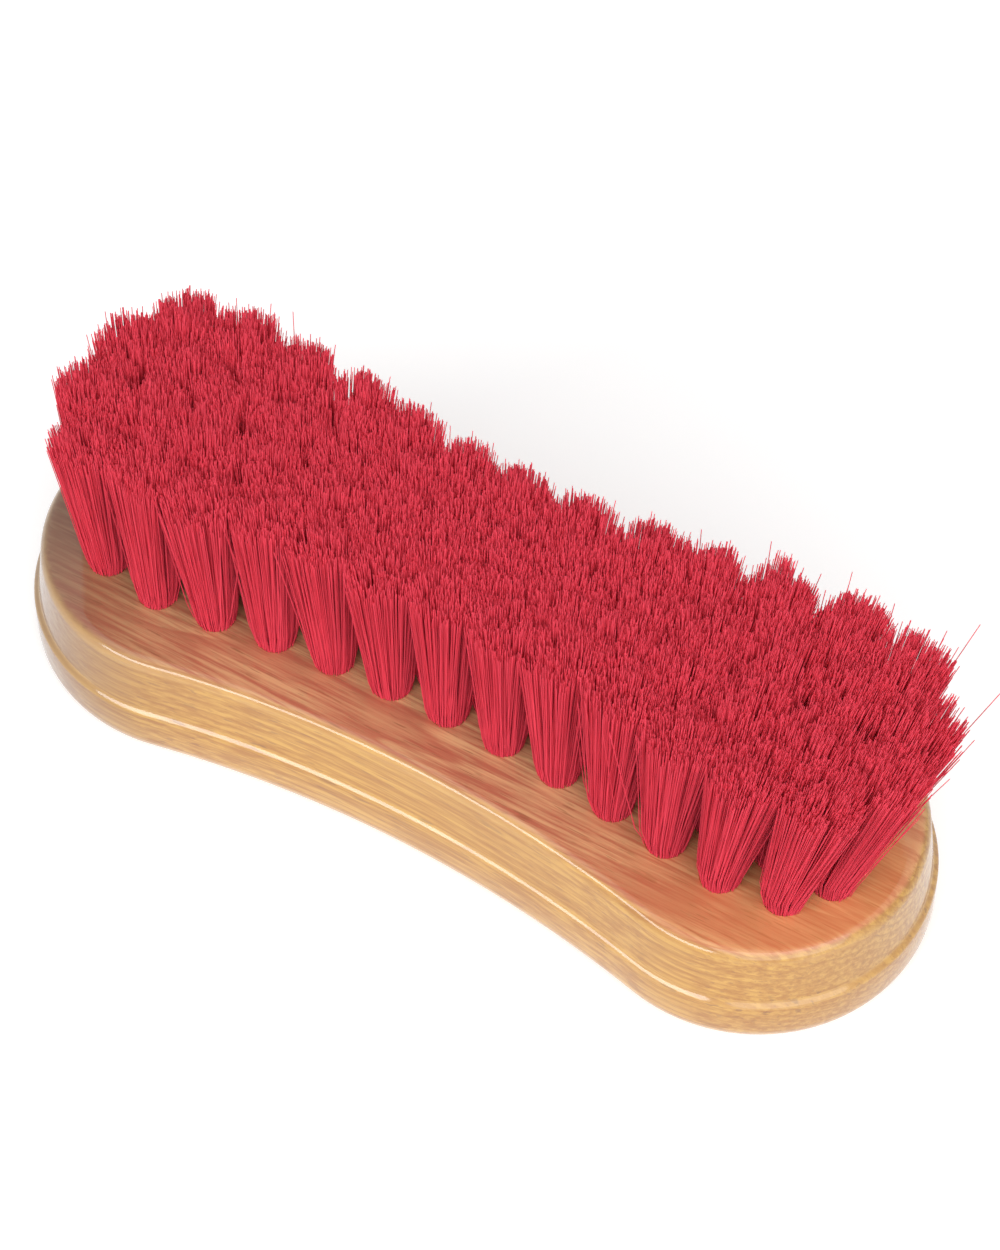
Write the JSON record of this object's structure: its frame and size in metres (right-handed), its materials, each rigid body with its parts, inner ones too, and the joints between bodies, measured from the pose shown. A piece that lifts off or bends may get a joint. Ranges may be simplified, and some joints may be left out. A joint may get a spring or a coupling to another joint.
{
  "type": "face brush",
  "caption": "Waisted wooden grooming brush for a horse's face, with a soft step round the side of its block and staggered tufts of soft synthetic bristle held by wire staples.",
  "frame": {"origin": "middle of the flat back face, on which the brush lies", "axes": "+X along the length, +Y across the block, +Z from the back to the bristle tips"},
  "size_m": [0.15, 0.054, 0.0556],
  "materials": {
    "wood": "varnished",
    "bristle": "satin",
    "staple": "plain"
  },
  "bodies": {
    "root": {"block": "wood", "tufts_front": "bristle", "tufts_front_inner": "bristle", "tufts_back_inner": "bristle", "tufts_back": "bristle", "staple_front_01": "staple", "staple_front_02": "staple", "staple_front_03": "staple", "staple_front_04": "staple", "staple_front_05": "staple", "staple_front_06": "staple", "staple_front_07": "staple", "staple_front_08": "staple", "staple_front_09": "staple", "staple_front_10": "staple", "staple_front_11": "staple", "staple_front_12": "staple", "staple_front_13": "staple", "staple_front_inner_01": "staple", "staple_front_inner_02": "staple", "staple_front_inner_03": "staple", "staple_front_inner_04": "staple", "staple_front_inner_05": "staple", "staple_front_inner_06": "staple", "staple_front_inner_07": "staple", "staple_front_inner_08": "staple", "staple_front_inner_09": "staple", "staple_front_inner_10": "staple", "staple_front_inner_11": "staple", "staple_front_inner_12": "staple", "staple_front_inner_13": "staple", "staple_front_inner_14": "staple", "staple_back_inner_01": "staple", "staple_back_inner_02": "staple", "staple_back_inner_03": "staple", "staple_back_inner_04": "staple", "staple_back_inner_05": "staple", "staple_back_inner_06": "staple", "staple_back_inner_07": "staple", "staple_back_inner_08": "staple", "staple_back_inner_09": "staple", "staple_back_inner_10": "staple", "staple_back_inner_11": "staple", "staple_back_inner_12": "staple", "staple_back_inner_13": "staple", "staple_back_inner_14": "staple", "staple_back_01": "staple", "staple_back_02": "staple", "staple_back_03": "staple", "staple_back_04": "staple", "staple_back_05": "staple", "staple_back_06": "staple", "staple_back_07": "staple", "staple_back_08": "staple", "staple_back_09": "staple", "staple_back_10": "staple", "staple_back_11": "staple", "staple_back_12": "staple", "staple_back_13": "staple"}
  },
  "joints": []
}
